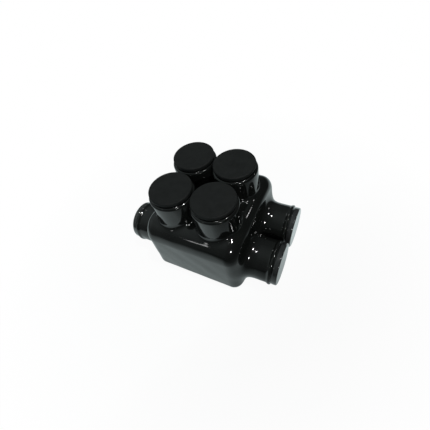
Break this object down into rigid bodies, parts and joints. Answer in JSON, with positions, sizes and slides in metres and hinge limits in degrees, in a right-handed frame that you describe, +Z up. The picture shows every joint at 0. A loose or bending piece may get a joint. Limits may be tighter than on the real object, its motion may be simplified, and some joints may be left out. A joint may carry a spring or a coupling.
{
  "type": "insulated splice connector",
  "caption": "Black jacketed wire splice connector: a boxy moulded body with round capped screw ports on top and capped wire ports at both ends.",
  "frame": {"origin": "centre of the flat base, under the whole part's middle", "axes": "+X along the wires, +Y across the two wire channels, +Z up out of the screw ports"},
  "size_m": [0.124, 0.082, 0.0773],
  "materials": {
    "jacket": "glossy dip-moulded plastisol",
    "block": "tin-plated, satin",
    "set_screw": "tin-plated, machined",
    "screw_plug": "matte moulded",
    "wire_plug": "satin moulded"
  },
  "bodies": {
    "connector": {"jacket": "jacket", "block": "block"},
    "set_screw_front_left": {"set_screw_front_left": "set_screw"},
    "set_screw_front_right": {"set_screw_front_right": "set_screw"},
    "set_screw_rear_left": {"set_screw_rear_left": "set_screw"},
    "set_screw_rear_right": {"set_screw_rear_right": "set_screw"},
    "screw_plug_front_left": {"screw_plug_front_left": "screw_plug"},
    "screw_plug_front_right": {"screw_plug_front_right": "screw_plug"},
    "screw_plug_rear_left": {"screw_plug_rear_left": "screw_plug"},
    "screw_plug_rear_right": {"screw_plug_rear_right": "screw_plug"},
    "wire_plug_front_left": {"wire_plug_front_left": "wire_plug"},
    "wire_plug_front_right": {"wire_plug_front_right": "wire_plug"},
    "wire_plug_rear_left": {"wire_plug_rear_left": "wire_plug"},
    "wire_plug_rear_right": {"wire_plug_rear_right": "wire_plug"}
  },
  "joints": [
    {"name": "set_screw_front_left_drive", "type": "slide", "parent": "connector", "child": "set_screw_front_left", "axis": [0, 0, -1], "range_m": [0, 0.014]},
    {"name": "set_screw_front_right_drive", "type": "slide", "parent": "connector", "child": "set_screw_front_right", "axis": [0, 0, -1], "range_m": [0, 0.014]},
    {"name": "set_screw_rear_left_drive", "type": "slide", "parent": "connector", "child": "set_screw_rear_left", "axis": [0, 0, -1], "range_m": [0, 0.014]},
    {"name": "set_screw_rear_right_drive", "type": "slide", "parent": "connector", "child": "set_screw_rear_right", "axis": [0, 0, -1], "range_m": [0, 0.014]},
    {"name": "screw_plug_front_left_pull", "type": "slide", "parent": "connector", "child": "screw_plug_front_left", "axis": [0, 0, 1], "range_m": [0, 0.04]},
    {"name": "screw_plug_front_right_pull", "type": "slide", "parent": "connector", "child": "screw_plug_front_right", "axis": [0, 0, 1], "range_m": [0, 0.04]},
    {"name": "screw_plug_rear_left_pull", "type": "slide", "parent": "connector", "child": "screw_plug_rear_left", "axis": [0, 0, 1], "range_m": [0, 0.04]},
    {"name": "screw_plug_rear_right_pull", "type": "slide", "parent": "connector", "child": "screw_plug_rear_right", "axis": [0, 0, 1], "range_m": [0, 0.04]},
    {"name": "wire_plug_front_left_pull", "type": "slide", "parent": "connector", "child": "wire_plug_front_left", "axis": [-1, 0, 0], "range_m": [0, 0.06]},
    {"name": "wire_plug_front_right_pull", "type": "slide", "parent": "connector", "child": "wire_plug_front_right", "axis": [1, 0, 0], "range_m": [0, 0.06]},
    {"name": "wire_plug_rear_left_pull", "type": "slide", "parent": "connector", "child": "wire_plug_rear_left", "axis": [-1, 0, 0], "range_m": [0, 0.06]},
    {"name": "wire_plug_rear_right_pull", "type": "slide", "parent": "connector", "child": "wire_plug_rear_right", "axis": [1, 0, 0], "range_m": [0, 0.06]}
  ]
}
